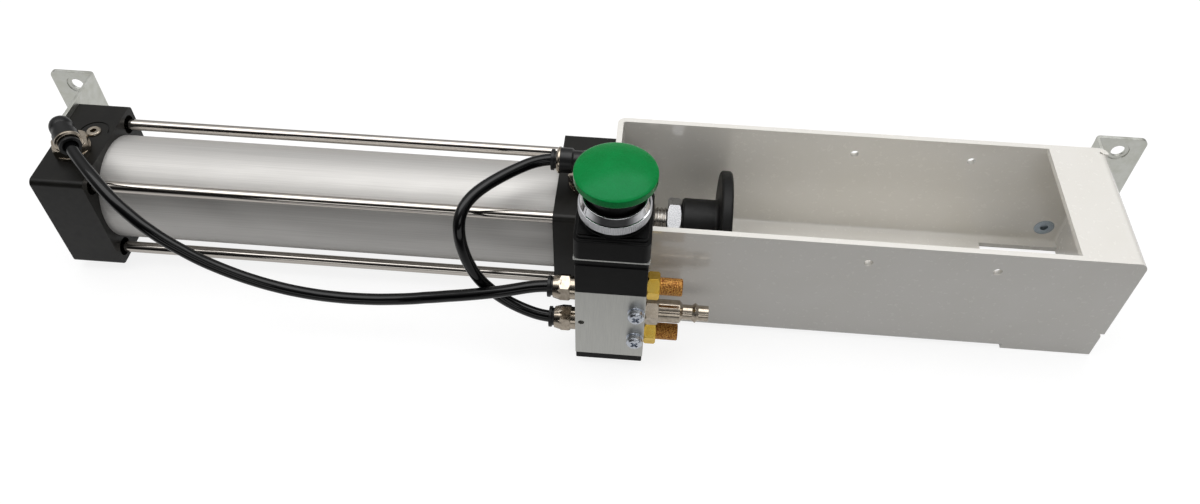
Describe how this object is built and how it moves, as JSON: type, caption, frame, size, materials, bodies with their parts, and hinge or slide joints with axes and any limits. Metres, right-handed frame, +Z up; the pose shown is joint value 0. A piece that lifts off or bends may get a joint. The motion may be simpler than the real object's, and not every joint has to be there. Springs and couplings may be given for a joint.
{
  "type": "pneumatic can crusher",
  "caption": "Wall-mounted air-powered can crusher: tie-rod cylinder, folded sheet trough with an exit slot, and a push-button valve with hoses.",
  "frame": {"origin": "centre of the four wall holes, on the wall's surface", "axes": "+X along the cylinder towards the trough's far end, +Y into the wall, +Z up"},
  "size_m": [0.6, 0.1269, 0.1275],
  "materials": {
    "cast_black": "satin black paint on cast aluminium",
    "anodised_tube": "satin clear anodised",
    "rod_steel": "ground and polished",
    "plain_steel": "turned",
    "zinc_steel": "zinc plated",
    "seal_rubber": "smooth",
    "bearing_bronze": "turned",
    "bearing_plastic": "smooth",
    "piston_aluminium": "turned",
    "foot_black": "smooth satin",
    "white_powder": "glossy powder coat",
    "valve_aluminium": "brushed and anodised",
    "black_plastic": "moulded",
    "chrome_ring": "knurled and plated",
    "green_plastic": "moulded",
    "nickel": "nickel plated brass",
    "brass": "turned",
    "sintered_bronze": "sintered grains",
    "hose_black": "smooth extruded"
  },
  "bodies": {
    "frame": {"rear_cap": "cast_black", "front_cap": "cast_black", "cylinder_tube": "anodised_tube", "tie_rods": "rod_steel", "tie_rod_nuts": "plain_steel", "tube_seals": "seal_rubber", "rod_bushing": "bearing_bronze", "rod_wiper": "seal_rubber", "channel": "white_powder", "end_cover": "white_powder", "channel_screws": "plain_steel", "rear_bracket": "zinc_steel", "rear_bracket_screws": "zinc_steel", "end_bracket": "zinc_steel", "end_bracket_screws": "plain_steel", "end_bracket_nuts": "zinc_steel", "valve_body": "valve_aluminium", "valve_end_cap": "black_plastic", "valve_head_block": "black_plastic", "valve_gasket_plate": "valve_aluminium", "button_housing": "black_plastic", "button_ring": "chrome_ring", "return_spring": "plain_steel", "valve_screws": "zinc_steel", "valve_spring_washers": "zinc_steel", "valve_flat_washers": "zinc_steel", "tube_fittings": "nickel", "elbow_bases": "nickel", "elbow_bodies": "black_plastic", "elbow_rings": "nickel", "silencer_bases": "brass", "silencer_elements": "sintered_bronze", "air_plug": "nickel", "hose_rear": "hose_black", "hose_front": "hose_black"},
    "ram": {"piston_rod": "rod_steel", "piston": "piston_aluminium", "piston_seals": "seal_rubber", "wear_ring": "bearing_plastic", "cushion_sleeve": "plain_steel", "piston_nut": "plain_steel", "lock_nut": "zinc_steel", "crush_foot": "foot_black"},
    "button": {"button_head": "green_plastic", "button_plunger": "black_plastic", "valve_spool": "plain_steel", "spool_seals": "seal_rubber"},
    "rear_needle": {"cushion_needle_rear": "nickel"},
    "front_needle": {"cushion_needle_front": "nickel"},
    "upper_collet": {"collet_upper": "black_plastic"},
    "lower_collet": {"collet_lower": "black_plastic"},
    "rear_collet": {"collet_rear": "black_plastic"},
    "front_collet": {"collet_front": "black_plastic"}
  },
  "joints": [
    {"name": "ram_slide", "type": "slide", "parent": "frame", "child": "ram", "axis": [1, 0, 0], "range_m": [0, 0.186]},
    {"name": "button_press", "type": "slide", "parent": "frame", "child": "button", "axis": [0, 0, -1], "range_m": [0, 0.005], "stiffness_N_per_m": 800, "springref_m": -0.01, "deforming": ["return_spring"]},
    {"name": "upper_collet_press", "type": "slide", "parent": "frame", "child": "upper_collet", "axis": [1, 0, 0], "range_m": [0, 0.0012], "stiffness_N_per_m": 1500, "springref_m": -0.001},
    {"name": "lower_collet_press", "type": "slide", "parent": "frame", "child": "lower_collet", "axis": [1, 0, 0], "range_m": [0, 0.0012], "stiffness_N_per_m": 1500, "springref_m": -0.001},
    {"name": "rear_collet_press", "type": "slide", "parent": "frame", "child": "rear_collet", "axis": [-0.6293, 0.7771, 0], "range_m": [0, 0.0012], "stiffness_N_per_m": 1500, "springref_m": -0.001},
    {"name": "front_collet_press", "type": "slide", "parent": "frame", "child": "front_collet", "axis": [1, 0, 0], "range_m": [0, 0.0012], "stiffness_N_per_m": 1500, "springref_m": -0.001},
    {"name": "rear_needle_turn", "type": "hinge", "parent": "frame", "child": "rear_needle", "pos_m": [-0.2565, -0.045, 0.031], "axis": [0, 0, 1], "range_deg": [-360, 720]},
    {"name": "front_needle_turn", "type": "hinge", "parent": "frame", "child": "front_needle", "pos_m": [0.0015, -0.045, 0.031], "axis": [0, 0, 1], "range_deg": [-360, 720]}
  ]
}
